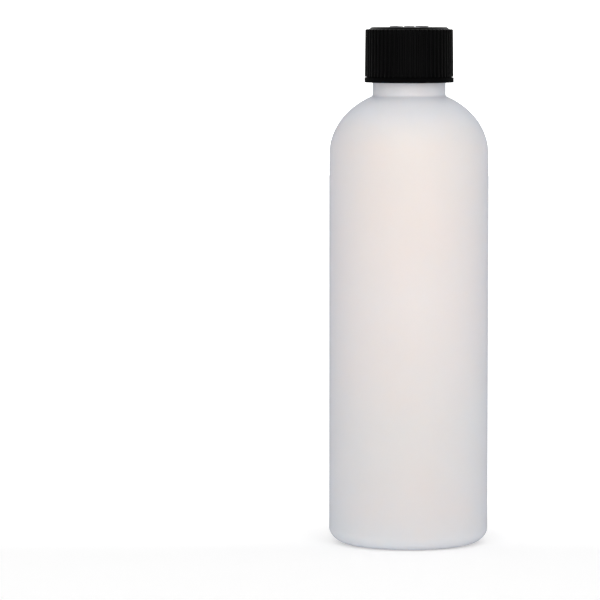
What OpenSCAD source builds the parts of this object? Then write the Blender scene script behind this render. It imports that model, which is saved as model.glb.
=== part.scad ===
// Child-resistant bottle: a blown polyethylene bottle with a threaded neck,
// closed by a push-down-and-turn cap of two moulded shells and a foam liner.
// Millimetres. The origin is at the middle of the circle that the bottle stands on.

/* [Body] */
// Outside diameter of the straight wall
body_d = 51; // [46:0.5:58]
// Height at which the straight wall turns into the shoulder
wall_h = 124.8; // [60:0.2:200]
// Thickness of the blown wall
wall = 1; // [0.7:0.1:1.4]
// Radial width of the rounded heel, from the foot out to the wall
heel_w = 6.6; // [3:0.1:9]
// Height of the rounded heel
heel_h = 5.1; // [3:0.1:9]
// Width of the flat ring that the bottle stands on
foot_w = 1; // [0.6:0.1:2.5]
// Rise of the middle of the base above the table
push_up = 2.2; // [1.4:0.1:4]
// Length of the pinch line that the blow mould leaves across the base
pinch_l = 24; // [12:1:32]
// Width of the pinch line
pinch_w = 0.9; // [0.5:0.1:2]
// Depth of the pinch line below the base
pinch_h = 0.35; // [0.2:0.05:0.6]

/* [Shoulder] */
// Radius of the shoulder where it leaves the straight wall
shoulder_side_r = 19; // [14:0.5:21]
// Radius of the shoulder where it nears the neck
shoulder_top_r = 24.9; // [22:0.1:28]
// Angle above level at which one radius passes into the other
shoulder_split = 43.4; // [30:0.2:50]
// Fillet between the shoulder and the neck
neck_fillet_r = 0.8; // [0.4:0.1:1.6]

/* [Neck finish] */
// Height from the neck's foot to the sealing land
finish_h = 15.5; // [14.5:0.05:20]
// Diameter over the crest of the thread
thread_d = 23.7; // [22:0.1:27]
// Height of the neck's thread above its root
thread_h = 1.1; // [0.9:0.05:1.25]
// How much smaller the collar's radius is than the thread's
collar_step = 0.2; // [0:0.05:0.6]
// Wall of the neck between the pouring bore and the root of the thread
neck_wall = 1.65; // [1.2:0.05:3]
// Bevel on the edges of the sealing land
land_bevel = 0.25; // [0.1:0.05:0.4]
// Rise of the thread in one turn
pitch = 3.175; // [2.8:0.025:4]
// Turns of thread on the neck
thread_turns = 1.5; // [1:0.25:2]
// Plain height between the sealing land and the thread
thread_drop = 1.2; // [0.8:0.1:2]
// Width of the neck thread's crest
crest_w = 0.9; // [0.6:0.05:1]
// Slope of the thread's flanks away from level
flank_a = 22; // [10:1:26]

/* [Inner cap] */
// Turns of thread inside the inner cap
cap_turns = 1.1; // [0.8:0.1:1.3]
// Width of the cap thread's crest
cap_crest_w = 0.7; // [0.5:0.05:0.8]
// Play across the thread, from crest to wall
thread_gap = 0.2; // [0.15:0.05:0.35]
// Play along the thread, between the two flanks
thread_play = 0.2; // [0.1:0.05:0.3]
// Plain lead-in below the cap's thread
skirt_lead = 1.4; // [1:0.1:2.5]
// Wall of the inner cap's skirt
inner_wall = 0.75; // [0.6:0.05:1.2]
// Thickness of the inner cap's top
inner_top_t = 1.1; // [0.8:0.1:1.6]
// Bevel on the edges of the inner cap
inner_bevel = 0.35; // [0.2:0.05:0.5]
// How far the bead that holds the liner stands into the inner cap
liner_bead = 0.3; // [0.15:0.05:0.4]

/* [Liner] */
// Thickness of the foam liner
liner_t = 1; // [0.6:0.1:2]
// Gap round the liner
liner_gap = 0.1; // [0.05:0.05:0.3]

/* [Push and turn] */
// Downward travel of the outer cap on the inner cap
push_travel = 1.3; // [0.8:0.1:1.8]
// Number of drive lugs on each cap, and of ratchet teeth and spring fingers
lug_count = 8; // [4:1:8]
// Angle that one drive lug spans
lug_a = 12; // [8:1:16]
// Radial width of the drive lugs
lug_w = 2.2; // [1.4:0.1:2.6]
// Height of the outer cap's drive lugs
outer_lug_h = 1.35; // [1:0.05:1.8]
// Gap between the two rings of lugs while nobody pushes
lug_gap = 0.3; // [0.2:0.05:0.5]
// Gap that is left under the lugs when the outer cap is pushed right down
lug_floor = 0.2; // [0.1:0.05:0.4]
// Inner radius of the ratchet ring
ratchet_in_r = 5.2; // [4.5:0.1:5.6]
// Radial width of the ratchet ring
ratchet_w = 3; // [2:0.1:3.4]
// Length of one ratchet ramp
ramp_l = 3; // [2:0.1:3.2]
// Height of the ratchet ramps
ramp_h = 0.9; // [0.6:0.05:1.1]
// Length of one spring finger
finger_l = 4.6; // [3.6:0.1:4.8]
// Thickness of the spring fingers
finger_t = 0.55; // [0.4:0.05:0.8]
// Gap between a finger's tip and the tooth that it locks against
finger_gap = 0.35; // [0.2:0.05:0.6]

/* [Outer cap] */
// Gap between the two skirts
shell_gap = 0.15; // [0.1:0.05:0.3]
// Wall of the outer skirt in the grooves between the ribs
outer_wall = 0.8; // [0.7:0.05:1.4]
// Thickness of the outer cap's top
outer_top_t = 1; // [0.9:0.1:1.8]
// Number of grip ribs
rib_count = 58; // [36:1:70]
// Height of the ribs above the grooves
rib_h = 0.44; // [0.3:0.01:0.6]
// Radius of a rib's round back
rib_r = 0.42; // [0.3:0.01:0.46]
// Height of the plain band round the bottom edge
band_h = 1.58; // [1.4:0.02:2.4]
// Amount by which the band stands out of the grooves
band_out = 0.53; // [0.35:0.01:0.7]
// Height of the slit between the ribs and the band
slit_h = 0.22; // [0.1:0.02:0.4]
// Depth of the slit behind the grooves
slit_in = 0.12; // [0.05:0.01:0.2]
// Radius of the round at the top of the skirt
corner_r = 0.8; // [0.4:0.05:0.85]
// Distance from the grooves in to the foot of the raised disc
disc_in = 0.85; // [0.7:0.05:3]
// Width of the raised disc's sloping edge
disc_slope = 0.9; // [0.4:0.05:1.5]
// Step from the skirt's top up to the disc
disc_h = 0.68; // [0.4:0.02:0.9]
// Height of the retaining bead below the inner cap's rim
bead_h = 1.3; // [1:0.05:1.6]
// Width of the rim that the bead holds
bead_grip = 0.55; // [0.3:0.05:0.65]

/* [Raised signs] */
// Outer radius of the turn arrows on top
arrow_r = 7; // [6:0.1:9]
// Width of the arrows' bands
arrow_w = 1.1; // [0.7:0.1:1.4]
// Angle that one arrow's band spans
arrow_a = 100; // [60:5:120]
// Height of the raised signs
sign_h = 0.3; // [0.2:0.05:0.8]

/* [Hidden] */
$fn = 96;

// Colours as they look on the real thing
milky = [0.9, 0.89, 0.9];
natural_white = [0.94, 0.94, 0.92];
foam_white = [0.98, 0.98, 0.96];
black = [0.07, 0.07, 0.07];

// Steps of the round stretches of the profiles, and of the threads' sweeps
arc_steps = 12;
base_steps = 6;
thread_step = 10;
runout_a = 30;
runout_low = 0.12;
// How deep an added shape reaches into the wall that carries it
weld = 0.3;

// Bottle: foot, base and shoulder
body_r = body_d / 2;
foot_out_r = body_r - heel_w;
foot_in_r = foot_out_r - foot_w;
foot_slope = 1.6;
foot_rise = 0.9;
dome_r = foot_in_r - foot_slope;
thread_r = thread_d / 2;
collar_r = thread_r - collar_step;
side_c = [body_r - shoulder_side_r, wall_h];
top_c = side_c + (shoulder_side_r - shoulder_top_r) * [cos(shoulder_split), sin(shoulder_split)];
fillet_dx = collar_r + neck_fillet_r - top_c[0];
fillet_a = acos(fillet_dx / (shoulder_top_r + neck_fillet_r));
neck_base_z = top_c[1] + (shoulder_top_r + neck_fillet_r) * sin(fillet_a);
fillet_c = [collar_r + neck_fillet_r, neck_base_z];

// Neck: the thread hangs from the sealing land
root_r = thread_r - thread_h;
bore_r = root_r - neck_wall;
neck_top_z = neck_base_z + finish_h;
thread_high_z = neck_top_z - thread_drop - crest_w / 2 - thread_h * tan(flank_a);
thread_low_z = thread_high_z - pitch * thread_turns;

// Inner cap: its thread lies under the neck's thread
inner_bore_r = thread_r + thread_gap;
inner_r = inner_bore_r + inner_wall;
cap_tip_r = root_r + thread_gap;
cap_thread_deep = inner_bore_r - cap_tip_r;
thread_offset = (crest_w + cap_crest_w) / 2 + (thread_r - cap_tip_r) * tan(flank_a) + thread_play;
cap_thread_z = thread_low_z - thread_offset;
rim_z = cap_thread_z - cap_crest_w / 2 - cap_thread_deep * tan(flank_a) - skirt_lead;
liner_z = neck_top_z;
inner_under_z = liner_z + liner_t;
inner_top_z = inner_under_z + inner_top_t;
bead_drop = 0.2;
bead_rise = 0.6;

// Collar: it ends just inside the cap's skirt, and the bore narrows there
collar_lap = 0.4;
collar_slope = 0.9;
collar_top_z = rim_z + collar_lap;
throat_h = 1.5;

// Push and turn: lugs, ratchet and fingers share the space between the two tops
panel_gap = push_travel + lug_floor + outer_lug_h;
inner_lug_h = panel_gap - outer_lug_h - lug_gap;
finger_drop = panel_gap - push_travel - lug_floor;
lug_edge = 1;
lug_out_r = inner_r - lug_edge;
lug_in_r = lug_out_r - lug_w;
pitch_a = 360 / lug_count;
finger_side = 0.25;

// Outer cap
outer_bore_r = inner_r + shell_gap;
outer_under_z = inner_top_z + panel_gap;
outer_top_z = outer_under_z + outer_top_t;
cap_bottom_z = rim_z - bead_h;
groove_r = outer_bore_r + outer_wall;
rib_c = groove_r + rib_h - rib_r;
crest_r = groove_r + rib_h;
round_r = crest_r + 0.1;
band_r = groove_r + band_out;
disc_r = groove_r - disc_in;
band_top_z = cap_bottom_z + band_h;
band_bevel = 0.12;
ledge_z = outer_top_z - disc_h;
inside_bevel = 1;
bead_in_r = inner_r - bead_grip;
bead_face = 0.4;
corner_z = ledge_z - corner_r;

// Raised signs
head_l = 2;
head_w = 2.6;
push_w = 3.4;
push_l = 4.4;
bar_h = 0.8;

// Points of an arc about c, from angle a0 to a1, without the first point where skip is 1
function arc(c, r, a0, a1, skip = 0) =
    [for (i = [skip : arc_steps]) let (a = a0 + (a1 - a0) * i / arc_steps) c + r * [cos(a), sin(a)]];

// Height of the domed base at radius r
function dome_z(r) = push_up - (push_up - foot_rise) * pow(r / dome_r, 2);

// Half profile of the blown shell from the middle of the base to the neck, set in by t
function shell(t) = concat(
    [for (i = [0 : base_steps]) let (r = dome_r * i / base_steps) [r, dome_z(r) + t]],
    [[foot_in_r, t]],
    [for (i = [0 : arc_steps]) let (a = 90 * i / arc_steps)
        [foot_out_r + (heel_w - t) * sin(a), heel_h - (heel_h - t) * cos(a)]],
    arc(side_c, shoulder_side_r - t, 0, shoulder_split),
    arc(top_c, shoulder_top_r - t, shoulder_split, fillet_a, 1),
    arc(fillet_c, neck_fillet_r + t, fillet_a + 180, 180, 1));

// Height of a thread at angle a of its sweep, as a share: it runs out at both ends
function runout(a, a_end) = max(runout_low, min(1, a / runout_a, (a_end - a) / runout_a));

// Section of a thread: [inner radius, its half width, outer radius, its half width].
// The tip side shrinks with k, and the root side reaches into the wall.
function section(root, tip, half_tip, k) =
    let (reach = tip > root ? -weld : weld,
         r_tip = root + (tip - root) * k,
         half_root = half_tip + (abs(tip - root) + weld) * tan(flank_a))
    tip > root ? [root + reach, half_root, r_tip, half_tip] : [r_tip, half_tip, root + reach, half_root];

// A thread: a four-sided section swept along a right-hand helix
module thread(root, tip, tip_w, turns) {
    a_end = 360 * turns;
    count = ceil(a_end / thread_step);
    rings = [for (i = [0 : count])
        let (a = a_end * i / count, s = section(root, tip, tip_w / 2, runout(a, a_end)), z = pitch * a / 360)
        [[s[0] * cos(a), s[0] * sin(a), z - s[1]], [s[2] * cos(a), s[2] * sin(a), z - s[3]],
         [s[2] * cos(a), s[2] * sin(a), z + s[3]], [s[0] * cos(a), s[0] * sin(a), z + s[1]]]];
    polyhedron(
        points = [for (ring = rings) for (p = ring) p],
        faces = concat(
            [[3, 2, 1, 0], [for (j = [0 : 3]) 4 * count + j]],
            [for (i = [0 : count - 1]) for (j = [0 : 3])
                [4 * i + j, 4 * i + (j + 1) % 4, 4 * i + 4 + (j + 1) % 4, 4 * i + 4 + j]]),
        convexity = 6);
}

// A ring sector, lower face at z = 0, centred on the X axis
module sector(r_in, w, h, a) {
    rotate([0, 0, -a / 2]) rotate_extrude(angle = a) translate([r_in, 0]) square([w, h]);
}

// The line that the blow mould pinches across the base, following the dome
module pinch_line() {
    intersection() {
        translate([-pinch_l / 2, -pinch_w / 2, 0]) cube([pinch_l, pinch_w, push_up + weld]);
        rotate_extrude() polygon(concat(
            [for (i = [0 : base_steps]) let (r = dome_r * i / base_steps) [r, dome_z(r) - pinch_h]],
            [for (i = [base_steps : -1 : 0]) let (r = dome_r * i / base_steps) [r, dome_z(r) + weld]]));
    }
}

// Blown in one piece, with the thread and the sealing land formed at the neck
module bottle() {
    color(milky) {
        rotate_extrude() difference() {
            polygon(concat(shell(0), [
                [collar_r, collar_top_z], [root_r, collar_top_z + collar_slope],
                [root_r, neck_top_z - land_bevel], [root_r - land_bevel, neck_top_z], [0, neck_top_z]]));
            polygon(concat(shell(wall), [
                [collar_r - wall, collar_top_z - throat_h], [bore_r, collar_top_z],
                [bore_r, neck_top_z - land_bevel], [bore_r + land_bevel, neck_top_z],
                [bore_r + land_bevel, neck_top_z + weld], [0, neck_top_z + weld]]));
        }
        translate([0, 0, thread_low_z]) thread(root_r, thread_r, crest_w, thread_turns);
        pinch_line();
    }
}

// One ratchet tooth: a ramp that rises the way the cap opens, and a locking face behind it
module ratchet_tooth() {
    translate([ratchet_in_r, -ramp_l, inner_top_z]) rotate([90, 0, 90]) linear_extrude(ratchet_w)
        polygon([[0, -weld], [ramp_l, -weld], [ramp_l, ramp_h], [0, 0]]);
}

// Screwed to the neck, with drive lugs and ratchet teeth on its top
module inner_cap() {
    color(natural_white) {
        rotate_extrude() polygon([
            [0, inner_under_z], [inner_bore_r, inner_under_z], [inner_bore_r, neck_top_z - bead_drop],
            [inner_bore_r - liner_bead, neck_top_z - bead_drop - bead_rise / 3],
            [inner_bore_r, neck_top_z - bead_drop - bead_rise], [inner_bore_r, rim_z + inner_bevel],
            [inner_bore_r + inner_bevel / 2, rim_z], [inner_r, rim_z],
            [inner_r, inner_top_z - inner_bevel], [inner_r - inner_bevel, inner_top_z], [0, inner_top_z]]);
        translate([0, 0, cap_thread_z]) thread(inner_bore_r, cap_tip_r, cap_crest_w, cap_turns);
        for (i = [0 : lug_count - 1]) rotate([0, 0, i * pitch_a]) {
            translate([0, 0, inner_top_z - weld]) sector(lug_in_r, lug_w, inner_lug_h + weld, lug_a);
            ratchet_tooth();
        }
    }
}

// A foam disc that the inner cap presses onto the sealing land
module liner() {
    color(foam_white) translate([0, 0, liner_z]) cylinder(r = inner_bore_r - liner_gap, h = liner_t);
}

// The skirt's outside: round-backed ribs, which fade out in the round at the top and end below
// at a slit over the band. The round starts just outside their crests, so it cuts them at an angle.
module grip_skirt() {
    foot_z = (cap_bottom_z + band_top_z) / 2;
    difference() {
        intersection() {
            translate([0, 0, foot_z]) linear_extrude(outer_top_z - foot_z) {
                circle(r = groove_r);
                for (i = [0 : rib_count - 1]) rotate(i * 360 / rib_count)
                    translate([rib_c, 0]) circle(r = rib_r, $fn = 20);
            }
            rotate_extrude() polygon(concat(
                [[0, cap_bottom_z], [round_r, cap_bottom_z]],
                arc([round_r - corner_r, corner_z], corner_r, 0, 90),
                [[0, ledge_z]]));
        }
        rotate_extrude() translate([groove_r - slit_in, cap_bottom_z])
            square([slit_in + band_out + weld, band_h + slit_h]);
    }
}

// One spring finger, drawn pressed: its tip points the way the cap closes
module spring_finger() {
    slope = finger_drop / finger_l;
    translate([ratchet_in_r + finger_side, finger_gap, outer_under_z]) rotate([90, 0, 90])
        linear_extrude(ratchet_w - 2 * finger_side)
            polygon([[0, -finger_drop], [finger_l, 0], [finger_l, weld],
                [(weld + finger_drop - finger_t) / slope, weld], [0, finger_t - finger_drop]]);
}

// A curved arrow that points the way the cap opens
module turn_arrow() {
    mid_r = arrow_r - head_w / 2;
    rotate_extrude(angle = arrow_a) translate([mid_r - arrow_w / 2, 0]) square([arrow_w, sign_h + weld]);
    rotate([0, 0, arrow_a]) linear_extrude(sign_h + weld)
        polygon([[mid_r - head_w / 2, -weld], [mid_r + head_w / 2, -weld], [mid_r, head_l]]);
}

// A straight arrow onto a bar, for pushing down
module push_sign() {
    linear_extrude(sign_h + weld) {
        translate([-push_w / 2, -push_l / 2]) square([push_w, bar_h]);
        polygon([[0, -push_l / 2 + bar_h * 1.5], [push_w / 2, 0], [-push_w / 2, 0]]);
        translate([-arrow_w / 2, -bar_h / 2]) square([arrow_w, push_l / 2]);
    }
}

// The shell that the hand grips: it slides down on the inner cap against its spring fingers
module outer_cap() {
    color(black) {
        difference() {
            union() {
                grip_skirt();
                rotate_extrude() polygon([
                    [0, cap_bottom_z], [band_r - band_bevel, cap_bottom_z],
                    [band_r, cap_bottom_z + band_bevel], [band_r, band_top_z - band_bevel],
                    [band_r - band_bevel, band_top_z], [0, band_top_z]]);
                rotate_extrude() polygon([
                    [0, ledge_z - weld], [disc_r, ledge_z - weld], [disc_r, ledge_z],
                    [disc_r - disc_slope, outer_top_z], [0, outer_top_z]]);
            }
            rotate_extrude() polygon([
                [0, outer_under_z], [outer_bore_r - inside_bevel, outer_under_z],
                [outer_bore_r, outer_under_z - inside_bevel], [outer_bore_r, rim_z], [bead_in_r, rim_z],
                [bead_in_r, rim_z - bead_face], [inner_r, cap_bottom_z], [inner_r, cap_bottom_z - weld],
                [0, cap_bottom_z - weld]]);
        }
        for (i = [0 : lug_count - 1]) rotate([0, 0, i * pitch_a]) {
            rotate([0, 0, pitch_a / 2]) translate([0, 0, outer_under_z - outer_lug_h])
                sector(lug_in_r, lug_w, outer_lug_h + weld, lug_a);
            spring_finger();
        }
        translate([0, 0, outer_top_z - weld]) {
            for (a = [0, 180]) rotate([0, 0, a - arrow_a / 2]) turn_arrow();
            push_sign();
        }
    }
}

bottle();
inner_cap();
liner();
outer_cap();
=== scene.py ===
from math import acos, ceil, cos, pi, radians, sin, sqrt, tan

import bpy
import numpy as np
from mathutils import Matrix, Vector


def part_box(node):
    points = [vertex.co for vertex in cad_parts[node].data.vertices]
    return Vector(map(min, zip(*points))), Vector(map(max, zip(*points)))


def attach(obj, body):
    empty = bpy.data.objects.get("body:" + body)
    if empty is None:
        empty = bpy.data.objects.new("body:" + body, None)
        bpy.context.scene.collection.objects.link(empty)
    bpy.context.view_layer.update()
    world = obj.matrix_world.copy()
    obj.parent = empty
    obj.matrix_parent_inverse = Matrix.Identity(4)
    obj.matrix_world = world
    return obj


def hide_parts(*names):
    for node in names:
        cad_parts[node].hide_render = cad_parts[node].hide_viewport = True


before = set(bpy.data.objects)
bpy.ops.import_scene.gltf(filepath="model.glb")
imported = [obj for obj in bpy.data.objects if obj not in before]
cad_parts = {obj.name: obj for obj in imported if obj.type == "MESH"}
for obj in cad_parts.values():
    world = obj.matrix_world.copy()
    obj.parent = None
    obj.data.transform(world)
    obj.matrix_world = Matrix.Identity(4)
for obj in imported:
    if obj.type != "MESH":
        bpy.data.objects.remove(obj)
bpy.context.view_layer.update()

# The blown bottle. It is natural high-density polyethylene, extruded as a soft tube and blown out
# in a split mould, which leaves a fine parting line down two sides and a pinched line under the
# pushed-up base. The neck keeps a calibrated bore, a flat sealing land and a turn and a half of thread.
MM = 0.001
bottle_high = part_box("bottle")[1]
body_r = bottle_high.x
neck_top = bottle_high.z
wall = 1.0 * MM
heel_w, heel_h = 6.6 * MM, 5.1 * MM
foot_r = body_r - heel_w
foot_w, foot_slope_w = 1.0 * MM, 1.6 * MM
dome_r = foot_r - foot_w - foot_slope_w
dome_foot, dome_top = 0.9 * MM, 2.2 * MM
dome_bend_w, dome_bend_share = 0.5 * MM, 0.62
wall_top = 124.8 * MM
side_r, top_r, split = 19 * MM, 24.9 * MM, radians(43.4)
fillet_r = 0.8 * MM
collar_r, root_r, thread_r, bore_r = 11.65 * MM, 10.75 * MM, 11.85 * MM, 9.1 * MM
land_bevel = 0.25 * MM
pitch, thread_turns = 3.175 * MM, 1.5
crest_w, flank, thread_drop = 0.9 * MM, radians(22), 1.2 * MM
run_out, run_out_slack, run_out_end = radians(30), 0.02, 0.05
thread_deep = thread_r - root_r
half_root = crest_w / 2 + thread_deep * tan(flank)
thread_high = neck_top - thread_drop - half_root
thread_low = thread_high - pitch * thread_turns
collar_drop, neck_swell = 3.11 * MM, 1.5 * MM
collar_top = thread_low - collar_drop
# The middle row of a small bevel lies this share of its width in from both faces, so that it reads round.
bevel_mid = 0.3
sharp_edge = radians(50)

side_c = np.array([body_r - side_r, wall_top])
top_c = side_c + (side_r - top_r) * np.array([cos(split), sin(split)])
fillet_a = acos((collar_r + fillet_r - top_c[0]) / (top_r + fillet_r))
fillet_c = np.array([collar_r + fillet_r, top_c[1] + (top_r + fillet_r) * sin(fillet_a)])


def arc(centre, radius, start, end, steps):
    """Points of a round stretch of a profile, from one angle to another."""
    angles = np.linspace(start, end, steps + 1)
    return [(centre[0] + radius * cos(a), centre[1] + radius * sin(a)) for a in angles]


def run(start, end, steps):
    """Evenly spaced points of a straight stretch of a profile, without its ends."""
    return [tuple(np.array(start) + (np.array(end) - start) * i / steps) for i in range(1, steps)]


def eased(share):
    """A share from 0 to 1 that starts and ends softly."""
    return share * share * (3 - 2 * share)


def shell_profile(inset):
    """The blown shell from the middle of its base to the foot of its neck, set in by a wall's thickness."""
    dome_rise = dome_top - dome_foot
    dome = [(dome_r * t, dome_top - dome_rise * t * t + inset) for t in np.linspace(0, 1, 25)]
    foot = [(dome_r + dome_bend_w, dome_foot * dome_bend_share + inset), (foot_r - foot_w, inset)]
    quarter = np.linspace(0, pi / 2, 21)
    heel = [(foot_r + (heel_w - inset) * sin(a), heel_h - (heel_h - inset) * cos(a)) for a in quarter]
    side = arc(side_c, side_r - inset, 0, split, 14)
    straight = run(heel[-1], side[0], 24)
    shoulder = arc(top_c, top_r - inset, split, fillet_a, 16)[1:]
    fillet = arc(fillet_c, fillet_r + inset, fillet_a + pi, pi, 6)[1:]
    return dome + foot + heel + straight + side + shoulder + fillet


def thread_height(angle, z):
    """How far the neck's thread stands out at an angle and a height: a helix with soft flanks and ends."""
    height = np.zeros_like(angle)
    for turn in range(ceil(thread_turns)):
        sweep = angle + 2 * pi * turn
        left = np.minimum(sweep, 2 * pi * thread_turns - sweep) / run_out
        off = np.abs(z - (thread_low + pitch * sweep / (2 * pi)))
        rise = eased(np.clip((half_root - off) / (half_root - crest_w / 2), 0, 1))
        stands = thread_deep * rise * np.clip(left, run_out_end, 1)
        height = np.maximum(height, np.where(left > -run_out_slack, stands, 0))
    return height


def turned(name, profile, angles, shape):
    """A closed surface: a profile that runs from axis to axis, carried round the Z axis.
    shape takes each row's number, radii, heights and the angles, and gives the radii and heights."""
    rows = []
    for k, (r, z) in enumerate(profile[1:-1]):
        radii, heights = shape(k, np.full(len(angles), r), np.full(len(angles), z), angles)
        rows.append(np.stack([radii * np.cos(angles), radii * np.sin(angles), heights], axis=1))
    points = np.concatenate([[[0, 0, profile[0][1]]], *rows, [[0, 0, profile[-1][1]]]])
    n, last = len(angles), len(rows) * len(angles) + 1
    turn = np.arange(n)
    following = (turn + 1) % n
    faces = [(0, 1 + b, 1 + a) for a, b in zip(turn, following)]
    for k in range(len(rows) - 1):
        low, high = 1 + k * n, 1 + (k + 1) * n
        faces += [(low + a, low + b, high + b, high + a) for a, b in zip(turn, following)]
    low = 1 + (len(rows) - 1) * n
    faces += [(low + a, low + b, last) for a, b in zip(turn, following)]
    mesh = bpy.data.meshes.new(name)
    mesh.from_pydata(points.tolist(), [], faces)
    mesh.shade_smooth()
    mesh.set_sharp_from_angle(angle=sharp_edge)
    piece = bpy.data.objects.new(name, mesh)
    bpy.context.scene.collection.objects.link(piece)
    return piece


collar_zone = [(collar_r, z) for z in np.linspace(fillet_c[1], collar_top, 8)[1:]]
thread_foot = collar_top + collar_r - root_r
thread_zone = [(root_r, z) for z in np.linspace(thread_foot, neck_top - land_bevel, 72)]
land_in = land_bevel * bevel_mid
land_edge = [(root_r - land_in, neck_top - land_in), (root_r - land_bevel, neck_top)]
outside = shell_profile(0) + collar_zone + thread_zone + land_edge
neck_bore = [(bore_r, collar_top), (bore_r, neck_top - land_bevel)]
inside = shell_profile(wall) + [(collar_r - wall, collar_top - neck_swell), neck_bore[0]]
inside += run(*neck_bore, 12) + [neck_bore[1], (bore_r + land_bevel, neck_top)]

parting_h, parting_w = 0.05 * MM, 0.35 * MM
parting_foot, parting_foot_fade = 0.3 * MM, 2 * MM
parting_end, parting_end_fade = 0.6 * MM, 1 * MM
pinch_l, pinch_w, pinch_h, pinch_fade = 24 * MM, 0.9 * MM, 0.35 * MM, 1 * MM
outer_rows = len(outside) - 1
thread_rows = range(outer_rows - len(thread_zone) - len(land_edge), outer_rows)


def bottle_shape(row, radii, heights, angles):
    """Adds the thread, the parting line on both sides and the pinched line to the outer rows."""
    if row >= outer_rows:
        return radii, heights
    across = np.abs(radii * np.sin(angles))
    along = np.abs(radii * np.cos(angles))
    if radii[0] <= dome_r and heights[0] < heel_h:
        pinch = np.clip((pinch_w - across) / (pinch_w / 2), 0, 1)
        pinch = pinch * np.clip((pinch_l / 2 - along) / pinch_fade, 0, 1)
        return radii, heights - pinch_h * eased(pinch)
    if row in thread_rows:
        radii = radii + thread_height(angles, heights)
    line = np.clip(1 - across / (parting_w / 2), 0, 1)
    line = line * np.clip((neck_top - heights - parting_end) / parting_end_fade, 0, 1)
    line = line * np.clip((heights - parting_foot) / parting_foot_fade, 0, 1)
    proud = np.minimum(radii + parting_h * line, np.maximum(radii, body_r))
    return proud, heights


# In degrees: even steps all round, and close ones across the two parting lines.
seam = np.array([-0.40, -0.25, -0.12, 0, 0.12, 0.25, 0.40])
even = np.arange(240) * 1.5
plain = even[even % 180 != 0]
bottle_angles = np.radians(np.sort(np.concatenate([plain, seam % 360, seam + 180])))
bottle = turned("bottle_shell", outside + inside[::-1], bottle_angles, bottle_shape)


def node(tree, kind, **settings):
    """A new shader node, with its settings and the plain values of its sockets."""
    made = tree.nodes.new(kind)
    for key, value in settings.items():
        if hasattr(made, key):
            setattr(made, key, value)
        else:
            made.inputs[key.replace("_", " ")].default_value = value
    return made


def feed(tree, value, slot):
    """Links a socket to a slot, or sets the slot to a plain number or colour."""
    if isinstance(value, bpy.types.NodeSocket):
        tree.links.new(value, slot)
    elif isinstance(value, tuple):
        slot.default_value = (*value, 1)
    else:
        slot.default_value = value


def maths(tree, operation, a, b, clamp=False):
    """A Math node on two sockets or plain numbers; gives its output socket."""
    made = node(tree, "ShaderNodeMath", operation=operation, use_clamp=clamp)
    feed(tree, a, made.inputs[0])
    feed(tree, b, made.inputs[1])
    return made.outputs[0]


def mixed(tree, first, second, share, blend="MIX"):
    """Two colours, as sockets or plain colours, mixed by a share; gives the colour socket."""
    made = node(tree, "ShaderNodeMix", data_type="RGBA", blend_type=blend)
    feed(tree, share, made.inputs[0])
    feed(tree, first, made.inputs[6])
    feed(tree, second, made.inputs[7])
    return made.outputs[2]


def object_place(tree):
    """The object's own coordinates, as one vector socket."""
    return node(tree, "ShaderNodeTexCoord").outputs["Object"]


def object_axes(tree):
    """The object's own coordinates, split into the sockets X, Y and Z."""
    parts = node(tree, "ShaderNodeSeparateXYZ")
    tree.links.new(object_place(tree), parts.inputs[0])
    return parts.outputs


def float_sockets(group, inputs, outputs):
    """Gives a node group its number sockets: inputs by name with their defaults, and outputs by name."""
    for name, default in inputs.items():
        made = group.interface.new_socket(name, in_out="INPUT", socket_type="NodeSocketFloat")
        made.default_value = default
    for name in outputs:
        group.interface.new_socket(name, in_out="OUTPUT", socket_type="NodeSocketFloat")


grain = bpy.data.node_groups.new("moulded_grain", "ShaderNodeTree")
grain_defaults = {"Grain Size": 0.4 * MM, "Cloud Size": 20 * MM, "Roughness": 0.4, "Spread": 0.1}
float_sockets(grain, grain_defaults, ("Roughness", "Height", "Cloud"))
given = node(grain, "NodeGroupInput").outputs
place = object_place(grain)
fine = node(grain, "ShaderNodeTexNoise", Detail=3.0, Roughness=0.6)
cloud = node(grain, "ShaderNodeTexNoise", Detail=2.0, Roughness=0.5)
for noise, size in ((fine, "Grain Size"), (cloud, "Cloud Size")):
    grain.links.new(place, noise.inputs["Vector"])
    grain.links.new(maths(grain, "DIVIDE", 1.0, given[size]), noise.inputs["Scale"])
swing = maths(grain, "MULTIPLY", maths(grain, "SUBTRACT", cloud.outputs["Fac"], 0.5), given["Spread"])
speck = maths(grain, "MULTIPLY", maths(grain, "SUBTRACT", fine.outputs["Fac"], 0.5), given["Spread"])
rough = maths(grain, "ADD", given["Roughness"], maths(grain, "ADD", swing, speck), clamp=True)
handed = node(grain, "NodeGroupOutput")
grain.links.new(rough, handed.inputs["Roughness"])
grain.links.new(fine.outputs["Fac"], handed.inputs["Height"])
grain.links.new(cloud.outputs["Fac"], handed.inputs["Cloud"])

scuffs = bpy.data.node_groups.new("handling_scuffs", "ShaderNodeTree")
float_sockets(scuffs, {"Length": 30 * MM, "Width": 0.5 * MM, "Share": 0.2}, ("Mask",))
scuff_from, scuff_steep = 0.33, 8.0
given = node(scuffs, "NodeGroupInput").outputs
axes = object_axes(scuffs)
stretched = node(scuffs, "ShaderNodeCombineXYZ")
for axis, size in (("X", "Width"), ("Y", "Width"), ("Z", "Length")):
    scuffs.links.new(maths(scuffs, "DIVIDE", axes[axis], given[size]), stretched.inputs[axis])
streaks = node(scuffs, "ShaderNodeTexNoise", Scale=1.0, Detail=4.0, Roughness=0.55)
scuffs.links.new(stretched.outputs[0], streaks.inputs["Vector"])
patches = node(scuffs, "ShaderNodeTexNoise", Scale=45.0, Detail=1.0)
scuffs.links.new(object_place(scuffs), patches.inputs["Vector"])
level = maths(scuffs, "MULTIPLY", streaks.outputs["Fac"], patches.outputs["Fac"])
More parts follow.
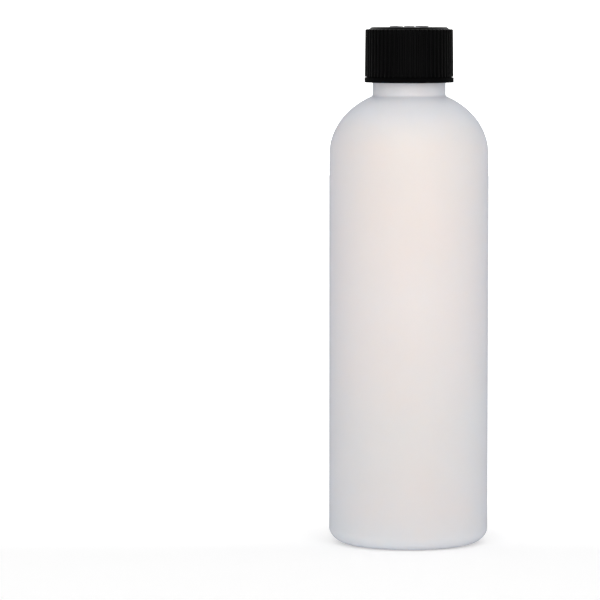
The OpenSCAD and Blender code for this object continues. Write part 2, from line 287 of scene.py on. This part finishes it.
level = maths(scuffs, "MULTIPLY", maths(scuffs, "SUBTRACT", level, scuff_from), scuff_steep, clamp=True)
handed = node(scuffs, "NodeGroupOutput")
scuffs.links.new(maths(scuffs, "MULTIPLY", level, given["Share"]), handed.inputs["Mask"])


def plastic(name, pale, deep, grain_size, cloud_size, roughness, spread, bump, scuff, **fixed):
    """A moulded plastic: two close tones by its clouds, uneven gloss, a fine grain and light scuffs."""
    material = bpy.data.materials.new(name)
    material.use_nodes = True
    tree = material.node_tree
    shader = tree.nodes["Principled BSDF"]
    surface = node(tree, "ShaderNodeGroup", node_tree=grain, Grain_Size=grain_size, Cloud_Size=cloud_size,
                   Roughness=roughness, Spread=spread)
    worn = node(tree, "ShaderNodeGroup", node_tree=scuffs, Share=scuff)
    clouds = node(tree, "ShaderNodeMapRange", From_Min=0.35, From_Max=0.65)
    tree.links.new(surface.outputs["Cloud"], clouds.inputs["Value"])
    tree.links.new(mixed(tree, deep, pale, clouds.outputs[0]), shader.inputs["Base Color"])
    gloss = maths(tree, "ADD", surface.outputs["Roughness"], worn.outputs["Mask"], clamp=True)
    tree.links.new(gloss, shader.inputs["Roughness"])
    relief = node(tree, "ShaderNodeBump", Strength=1.0, Distance=bump)
    tree.links.new(surface.outputs["Height"], relief.inputs["Height"])
    tree.links.new(relief.outputs[0], shader.inputs["Normal"])
    for socket, value in fixed.items():
        shader.inputs[socket.replace("_", " ")].default_value = value
    return material


milky = plastic("natural_polyethylene", pale=(1.0, 0.985, 0.97), deep=(0.98, 1.0, 1.0),
                grain_size=0.5 * MM, cloud_size=30 * MM, roughness=0.5, spread=0.12, bump=0.02 * MM,
                scuff=0.06, IOR=1.54, Specular_IOR_Level=0.2, Subsurface_Weight=0.5,
                Subsurface_Radius=(1.0, 0.85, 0.75), Subsurface_Scale=4 * MM,
                Subsurface_Anisotropy=0.5, Transmission_Weight=0.3)
# The wall is thin and warm along the body, and thicker with a cool tone at the shoulder, the neck and the
# base. The same ramp holds painted shade, darker towards the base as under light from above, and painted
# light that lifts the shoulder and the neck out of the cap's shade.
tree = milky.node_tree
shader = tree.nodes["Principled BSDF"]
share_up = node(tree, "ShaderNodeMapRange", From_Max=neck_top)
tree.links.new(object_axes(tree)["Z"], share_up.inputs["Value"])
wall_tint_and_painted_shade = node(tree, "ShaderNodeValToRGB")
stops = wall_tint_and_painted_shade.color_ramp.elements
stops[0].position, stops[0].color = 0.02, (0.785, 0.76, 0.765, 1)
stops[1].position, stops[1].color = 0.90, (1.0, 0.96, 0.985, 1)
for up, colour in ((0.08, (0.815, 0.75, 0.735)), (0.25, (0.845, 0.775, 0.75)), (0.50, (0.95, 0.825, 0.79)),
                   (0.80, (0.99, 0.845, 0.79)), (0.84, (0.96, 0.86, 0.825)), (0.87, (0.93, 0.885, 0.90))):
    stops.new(up).color = (*colour, 1)
tree.links.new(share_up.outputs[0], wall_tint_and_painted_shade.inputs[0])
mottled = shader.inputs["Base Color"].links[0].from_socket
# The mottled colour is multiplied by the height tone, which includes the painted shade and the painted
# light.
tinted_and_painted_shade = mixed(tree, mottled, wall_tint_and_painted_shade.outputs[0], 1.0, "MULTIPLY")
# Where the milky wall is seen at a slant, its colour is painted a cool tint, and at the very rim it is
# painted darker: painted shade at the bottle's edges.
slant = node(tree, "ShaderNodeLayerWeight", Blend=0.5).outputs["Facing"]
painted_cool_rim = mixed(tree, tinted_and_painted_shade, (0.86, 0.905, 0.97), maths(tree, "MULTIPLY", slant, 0.9))
painted_rim_shade = mixed(tree, painted_cool_rim, (0.50, 0.51, 0.57), maths(tree, "POWER", slant, 3.0), "MULTIPLY")
tree.links.new(painted_rim_shade, shader.inputs["Base Color"])
bottle.data.materials.append(milky)
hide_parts("bottle")
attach(bottle, "bottle")

# The outer cap. It is injection-moulded in black polypropylene: a thin skirt with round-backed grip
# ribs above a plain band, a raised disc on top with the push-and-turn signs, and inside it the
# retaining bead, the drive lugs and the spring fingers. It snaps over the inner cap.
outer_low, outer_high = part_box("outer_cap")
cap_bottom = outer_low.z
sign_h, top_wall = 0.3 * MM, 1.0 * MM
outer_top = outer_high.z - sign_h
under = outer_top - top_wall
band_r, band_h = outer_high.x, 1.58 * MM
band_top = cap_bottom + band_h
outer_bore_r, inner_r, bore_corner = 12.95 * MM, 12.8 * MM, 1 * MM
groove_r, rib_h, rib_r, rib_count = 13.75 * MM, 0.44 * MM, 0.42 * MM, 58
slit_h, slit_deep, rib_foot, rib_foot_share = 0.22 * MM, 0.12 * MM, 0.06 * MM, 0.85
slit_top, slit_r = band_top + slit_h, groove_r - slit_deep
draft = 0.15 * MM
disc_step, disc_h, disc_slope, disc_rim = 0.85 * MM, 0.68 * MM, 0.9 * MM, 0.4 * MM
disc_r = groove_r - disc_step
disc_top_r = disc_r - disc_slope
ledge = outer_top - disc_h
corner_r, rib_clear = 0.8 * MM, 0.1 * MM
round_r = groove_r + rib_h + rib_clear
ledge_r, corner_z = round_r - corner_r, ledge - corner_r
bead_r, bead_h, bead_face, bead_lead_w, bead_lead = 12.25 * MM, 1.3 * MM, 0.35 * MM, 0.05 * MM, 0.45 * MM
rim = cap_bottom + bead_h
edge = 0.12 * MM
edge_in = edge * bevel_mid

rib_half = sqrt(rib_r ** 2 - (rib_h - rib_r) ** 2)
rib_turn = 2 * pi / rib_count
groove_w = rib_turn * groove_r - 2 * rib_half
rib_steps = [rib_half * sin(k * pi / 12) for k in range(-6, 7)]
groove_steps = [rib_half + groove_w * t for t in (0.12, 0.5, 0.88)]
steps_round = rib_steps + groove_steps
cap_angles = np.array([k * rib_turn + step / groove_r for k in range(rib_count) for step in steps_round])
off_rib = (cap_angles + rib_turn / 2) % rib_turn - rib_turn / 2
rib_rise = np.sqrt(np.clip(rib_r ** 2 - (off_rib * groove_r) ** 2, 0, None)) + rib_h - rib_r
rib_rise = np.clip(rib_rise, 0, None)


def rounded(points, reach):
    """A profile with its inner corners rounded: each curve starts and ends this far from its corner."""
    made = [points[0]]
    for before, corner, after, far in zip(points, points[1:], points[2:], reach):
        before, corner, after = map(np.array, (before, corner, after))
        start = corner + (before - corner) / np.linalg.norm(before - corner) * far
        end = corner + (after - corner) / np.linalg.norm(after - corner) * far
        for t in np.linspace(0, 1, 5):
            made.append(tuple((1 - t) ** 2 * start + 2 * t * (1 - t) * corner + t * t * end))
    return made + [points[-1]]


flat_end = (disc_top_r - disc_rim, outer_top)
disc_line = [flat_end, (disc_top_r, outer_top), (disc_r, ledge), (ledge_r - rib_clear, ledge)]
top_rows = [(0, outer_top)] + run((0, outer_top), flat_end, 6) + rounded(disc_line, (0.3 * MM, 0.12 * MM))
quarter = np.linspace(0, pi / 2, 9)
corner_rows = [(ledge_r + corner_r * sin(a), corner_z + corner_r * cos(a)) for a in quarter]
skirt_foot = (round_r, slit_top + rib_foot)
skirt_rows = run((round_r, corner_z), skirt_foot, 8) + [skirt_foot]
slit_rows = [(round_r, slit_top), (slit_r, slit_top), (slit_r, band_top)]
band_rows = [(band_r - edge, band_top), (band_r - edge_in, band_top - edge_in), (band_r, band_top - edge)]
band_foot = (band_r, cap_bottom + edge)
band_rows += run(band_rows[-1], band_foot, 4) + [band_foot]
band_rows += [(band_r - edge_in, cap_bottom + edge_in), (band_r - edge, cap_bottom)]
bore_rows = [(inner_r, cap_bottom), (bead_r + bead_lead_w, rim - bead_lead), (bead_r, rim - bead_face)]
bore_rows += [(bead_r, rim - edge / 2), (bead_r + edge / 2, rim), (outer_bore_r, rim)]
bore_end, ceiling = (outer_bore_r, under - bore_corner), (outer_bore_r - bore_corner, under)
bore_rows += run((outer_bore_r, rim), bore_end, 8) + [bore_end, ceiling]
bore_rows += run(ceiling, (0, under), 5) + [(0, under)]
cap_profile = top_rows + corner_rows + skirt_rows + slit_rows + band_rows + bore_rows
skirt_from = len(top_rows) - 1
skirt_to = skirt_from + len(corner_rows) + len(skirt_rows)


def cap_shape(row, radii, heights, angles):
    """Sets the skirt's rows back to the grooves and ribs, with their draft, inside the round at the top."""
    if skirt_from <= row < skirt_to:
        lean = draft * np.clip((heights - slit_top) / (corner_z - slit_top), 0, 1)
        radii = np.minimum(radii, groove_r + rib_rise - lean)
    elif row == skirt_to:
        radii = groove_r + rib_rise * rib_foot_share
    return radii, heights


outer_cap = turned("outer_cap_shell", cap_profile, cap_angles, cap_shape)


def slab(outline, low, high, bevel):
    """A flat closed slab with the given outline and a small bevel round its upper edge: points and faces."""
    outline = np.array(outline)
    ahead = np.roll(outline, -1, axis=0) - outline
    behind = outline - np.roll(outline, 1, axis=0)
    normals = np.stack([ahead[:, 1], -ahead[:, 0]], axis=1)
    back = np.stack([behind[:, 1], -behind[:, 0]], axis=1)
    normals /= np.linalg.norm(normals, axis=1)[:, None]
    back /= np.linalg.norm(back, axis=1)[:, None]
    mitre = (normals + back) / (1 + (normals * back).sum(1))[:, None]
    mid = bevel * bevel_mid
    rings = [(outline, low), (outline, high - bevel)]
    rings += [(outline - mitre * mid, high - mid), (outline - mitre * bevel, high)]
    points = np.concatenate([np.column_stack([xy, np.full(len(xy), z)]) for xy, z in rings])
    n = len(outline)
    faces = [tuple(range(n - 1, -1, -1)), tuple(range(3 * n, 4 * n))]
    for k in range(3):
        low_ring, high_ring = k * n, (k + 1) * n
        for i in range(n):
            j = (i + 1) % n
            faces.append((low_ring + i, low_ring + j, high_ring + j, high_ring + i))
    return points, faces


def turned_about(points, angle):
    """The points turned about the Z axis."""
    c, s = cos(angle), sin(angle)
    return points @ np.array([[c, s, 0], [-s, c, 0], [0, 0, 1]])


def add_to(piece, parts):
    """Adds closed parts, each points and faces, to a piece's mesh, with the piece's own material."""
    mesh = piece.data
    points = [v.co[:] for v in mesh.vertices]
    faces = [tuple(p.vertices) for p in mesh.polygons]
    for more_points, more_faces in parts:
        start = len(points)
        points += [tuple(p) for p in more_points]
        faces += [tuple(start + i for i in face) for face in more_faces]
    mesh.clear_geometry()
    mesh.from_pydata(points, [], faces)
    mesh.shade_smooth()
    mesh.set_sharp_from_angle(angle=sharp_edge)


arrow_r, arrow_w, arrow_a = 7 * MM, 1.1 * MM, radians(100)
head_l, head_w = 2 * MM, 2.6 * MM
mid_r = arrow_r - head_w / 2
sign_bevel, weld = 0.12 * MM, 0.2 * MM
arrow_line = arc((0, 0), mid_r + arrow_w / 2, -arrow_a / 2, arrow_a / 2, 24)
head = np.array([[mid_r + head_w / 2, 0, 0], [mid_r, head_l, 0], [mid_r - head_w / 2, 0, 0]])
arrow_line += [tuple(p[:2]) for p in turned_about(head, arrow_a / 2)]
arrow_line += arc((0, 0), mid_r - arrow_w / 2, arrow_a / 2, -arrow_a / 2, 24)
arrow_points, arrow_faces = slab(arrow_line, outer_top - weld, outer_high.z, sign_bevel)
push_w, push_l, bar_h = 3.4 * MM, 4.4 * MM, 0.8 * MM
bar_foot, tip, stem_top = -push_l / 2, 1.5 * bar_h - push_l / 2, push_l / 2 - bar_h / 2
half_bar, half_stem, bar_top = push_w / 2, arrow_w / 2, bar_foot + bar_h
bar = [(-half_bar, bar_foot), (half_bar, bar_foot), (half_bar, bar_top), (-half_bar, bar_top)]
press = [(0, tip), (half_bar, 0), (half_stem, 0), (half_stem, stem_top)]
press += [(-half_stem, stem_top), (-half_stem, 0), (-half_bar, 0)]
signs = [(turned_about(arrow_points, a), arrow_faces) for a in (0, pi)]
signs += [slab(outline, outer_top - weld, outer_high.z, sign_bevel) for outline in (bar, press)]

lug_count, lug_a, lug_w, lug_h, lug_set_in = 8, radians(12), 2.2 * MM, 1.35 * MM, 1 * MM
lug_r, lug_bevel, finger_bevel = inner_r - lug_set_in, 0.1 * MM, 0.08 * MM
lug_outline = arc((0, 0), lug_r, -lug_a / 2, lug_a / 2, 4)
lug_outline += arc((0, 0), lug_r - lug_w, lug_a / 2, -lug_a / 2, 4)
lug_points, lug_faces = slab(lug_outline, -weld, lug_h, lug_bevel)
lug_points = lug_points * (1, -1, -1) + (0, 0, under)
ratchet_r, ratchet_w, finger_side, finger_gap = 5.2 * MM, 3 * MM, 0.25 * MM, 0.35 * MM
finger_l, finger_t, finger_drop = 4.6 * MM, 0.55 * MM, 1.35 * MM
finger_back = (weld + finger_drop - finger_t) * finger_l / finger_drop
finger_line = [(0, -finger_drop), (finger_l, 0), (finger_l, weld), (finger_back, weld)]
finger_line.append((0, finger_t - finger_drop))
finger_from, finger_to = ratchet_r + finger_side, ratchet_r + ratchet_w - finger_side
finger_points, finger_faces = slab(finger_line, finger_from, finger_to, finger_bevel)
finger_points = finger_points[:, [2, 0, 1]] + (0, finger_gap, under)
inner_works = []
for k in range(lug_count):
    inner_works.append((turned_about(lug_points, (k + 0.5) * 2 * pi / lug_count), lug_faces))
    inner_works.append((turned_about(finger_points, k * 2 * pi / lug_count), finger_faces))
add_to(outer_cap, signs + inner_works)

black = plastic("black_polypropylene", pale=(0.0010, 0.0010, 0.0011), deep=(0.0006, 0.0006, 0.0007),
                grain_size=0.3 * MM, cloud_size=6 * MM, roughness=0.46, spread=0.14, bump=0.012 * MM,
                scuff=0.08, IOR=1.5, Specular_IOR_Level=0.040)
# The mould is polished where it forms the flat top, and blasted along the band and the slit above it.
band_dull, top_polish = 0.40, 0.10
polished_above, dull_below = outer_top - 0.03 * MM, slit_top + 0.01 * MM
tree = black.node_tree
shader = tree.nodes["Principled BSDF"]
up = object_axes(tree)["Z"]
polish = maths(tree, "MULTIPLY", maths(tree, "GREATER_THAN", up, polished_above), top_polish)
dullness = maths(tree, "MULTIPLY", maths(tree, "LESS_THAN", up, dull_below), band_dull)
uneven = shader.inputs["Roughness"].links[0].from_socket
finish = maths(tree, "ADD", uneven, maths(tree, "SUBTRACT", dullness, polish))
tree.links.new(finish, shader.inputs["Roughness"])
outer_cap.data.materials.append(black)
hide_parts("outer_cap")
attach(outer_cap, "outer_cap")

# The inner cap. It is moulded in white polypropylene, screwed to the neck by its inside thread, and
# held in the outer cap by the bead under its rim. Lugs and ratchet teeth stand on its top.
white = plastic("white_polypropylene", pale=(0.76, 0.76, 0.74), deep=(0.71, 0.71, 0.70),
                grain_size=0.4 * MM, cloud_size=8 * MM, roughness=0.34, spread=0.10, bump=0.012 * MM,
                scuff=0.04, IOR=1.5, Subsurface_Weight=0.3, Subsurface_Radius=(1.0, 0.9, 0.8),
                Subsurface_Scale=1 * MM)
inner_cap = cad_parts["inner_cap"]
inner_cap.data.materials.clear()
inner_cap.data.materials.append(white)

# The liner. It is a punched disc of fine closed-cell polyethylene foam, pressed into the inner cap
# above a small bead, and it seals on the neck's flat land.
foam = plastic("polyethylene_foam", pale=(0.93, 0.93, 0.91), deep=(0.86, 0.86, 0.84),
               grain_size=0.35 * MM, cloud_size=4 * MM, roughness=0.75, spread=0.15, bump=0.08 * MM,
               scuff=0.0, Subsurface_Weight=0.4, Subsurface_Radius=(1.0, 1.0, 1.0),
               Subsurface_Scale=1 * MM)
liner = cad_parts["liner"]
liner.data.materials.clear()
liner.data.materials.append(foam)

# The studio: a pale floor and a white panel behind, a large soft box in front and a soft light
# overhead. A long lens looks from the front and a little above, and it sees floor and panel as
# plain white, apart from the soft shadow at the bottle's foot.
view_side, view_distance, view_height, view_tilt = -0.0349, 1.293, 0.177, radians(4.367)
camera_data = bpy.data.cameras.new("camera")
camera_data.lens, camera_data.sensor_width = 242.2, 36
camera_data.clip_start, camera_data.clip_end = 0.05, 50
camera = bpy.data.objects.new("camera", camera_data)
camera.location = (view_side, -view_distance, view_height)
camera.rotation_euler = (pi / 2 - view_tilt, 0, 0)
bpy.context.scene.collection.objects.link(camera)
bpy.context.scene.camera = camera

sheet_albedo, sheet_roughness = 0.8, 0.9
brighter_from, brighter_to = -0.02, 0.1


def white_sheet(name, glow_near, glow_far, glow_felt):
    """A matte white sheet. It looks brighter than it shines, most of all far back, so only shadows show."""
    material = bpy.data.materials.new(name)
    material.use_nodes = True
    tree = material.node_tree
    shader = tree.nodes["Principled BSDF"]
    shader.inputs["Base Color"].default_value = (sheet_albedo, sheet_albedo, sheet_albedo, 1)
    shader.inputs["Roughness"].default_value = sheet_roughness
    shader.inputs["Specular IOR Level"].default_value = 0
    shader.inputs["Emission Color"].default_value = (1, 1, 1, 1)
    seen_level = node(tree, "ShaderNodeMapRange", From_Min=brighter_from, From_Max=brighter_to,
                      To_Min=glow_near, To_Max=glow_far)
    tree.links.new(object_axes(tree)["Y"], seen_level.inputs["Value"])
    ray = node(tree, "ShaderNodeLightPath").outputs
    seen = maths(tree, "MAXIMUM", ray["Is Glossy Ray"], ray["Is Transmission Ray"])
    seen = maths(tree, "MAXIMUM", seen, ray["Is Camera Ray"])
    level = node(tree, "ShaderNodeMapRange", To_Min=glow_felt)
    tree.links.new(seen, level.inputs["Value"])
    tree.links.new(seen_level.outputs[0], level.inputs["To Max"])
    tree.links.new(level.outputs[0], shader.inputs["Emission Strength"])
    return material


def sheet_of(name, corners, material):
    """A flat sheet of the studio, which isn't part of the object."""
    mesh = bpy.data.meshes.new(name)
    mesh.from_pydata(corners, [], [(0, 1, 2, 3)])
    mesh.materials.append(material)
    made = bpy.data.objects.new(name, mesh)
    bpy.context.scene.collection.objects.link(made)


far, near, side, high, sunk = 2.6, -3.0, 3.0, 3.0, -0.1
floor_corners = [(-side, near, 0), (side, near, 0), (side, far, 0), (-side, far, 0)]
panel_corners = [(-side, far, sunk), (side, far, sunk), (side, far, high), (-side, far, high)]
sheet_of("floor", floor_corners, white_sheet("floor_white", 0.225, 0.55, 0.40))
sheet_of("panel", panel_corners, white_sheet("panel_white", 1.0, 1.0, 0.1))

world = bpy.data.worlds.new("studio")
bpy.context.scene.world = world
world.use_nodes = True
world.node_tree.nodes["Background"].inputs["Color"].default_value = (1, 1, 1, 1)
world.node_tree.nodes["Background"].inputs["Strength"].default_value = 0.28

sky = bpy.data.lights.new("overhead", "SUN")
sky.energy, sky.angle = 1.2, radians(120)
overhead = bpy.data.objects.new("overhead", sky)
bpy.context.scene.collection.objects.link(overhead)

box_place, bottle_middle = Vector((0.1, -2.4, 1.2)), Vector((0, 0, 0.09))
box_lamp = bpy.data.lights.new("front_box", "AREA")
box_lamp.energy, box_lamp.size = 58, 3.0
front_box = bpy.data.objects.new("front_box", box_lamp)
front_box.location = box_place
front_box.rotation_euler = (bottle_middle - box_place).to_track_quat("-Z", "Y").to_euler()
bpy.context.scene.collection.objects.link(front_box)

bpy.context.scene.view_settings.view_transform = "Standard"
